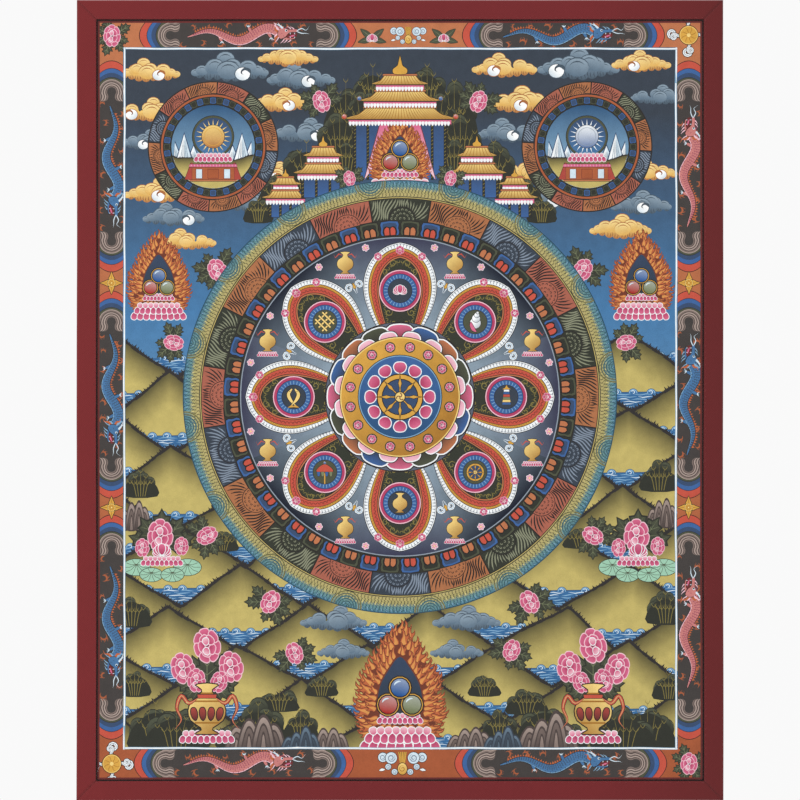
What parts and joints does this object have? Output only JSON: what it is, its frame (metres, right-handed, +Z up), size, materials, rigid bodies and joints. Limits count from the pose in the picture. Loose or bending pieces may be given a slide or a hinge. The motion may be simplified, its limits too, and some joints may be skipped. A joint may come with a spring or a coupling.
{
  "type": "thangka scroll painting",
  "caption": "Hanging painted cotton canvas with a round mandala design, bound in folded dark red cloth strips with fine black piping.",
  "frame": {"origin": "middle of the straight top edge, where the painting hangs; the cloth hangs down from it to about z = -0.531", "axes": "+X to the right seen from the front, the painted front faces -Y, +Z up"},
  "size_m": [0.4286, 0.0075, 0.5306],
  "materials": {
    "painted_canvas": "matt mineral paint on primed cotton canvas",
    "red_cloth": "plain woven dark red cotton, matt",
    "black_piping": "black twisted cotton cord"
  },
  "bodies": {
    "root": {"canvas_panel": "painted_canvas", "border_top": "red_cloth", "border_right": "red_cloth", "border_bottom": "red_cloth", "border_left": "red_cloth", "piping_top": "black_piping", "piping_right": "black_piping", "piping_bottom": "black_piping", "piping_left": "black_piping"}
  },
  "joints": []
}
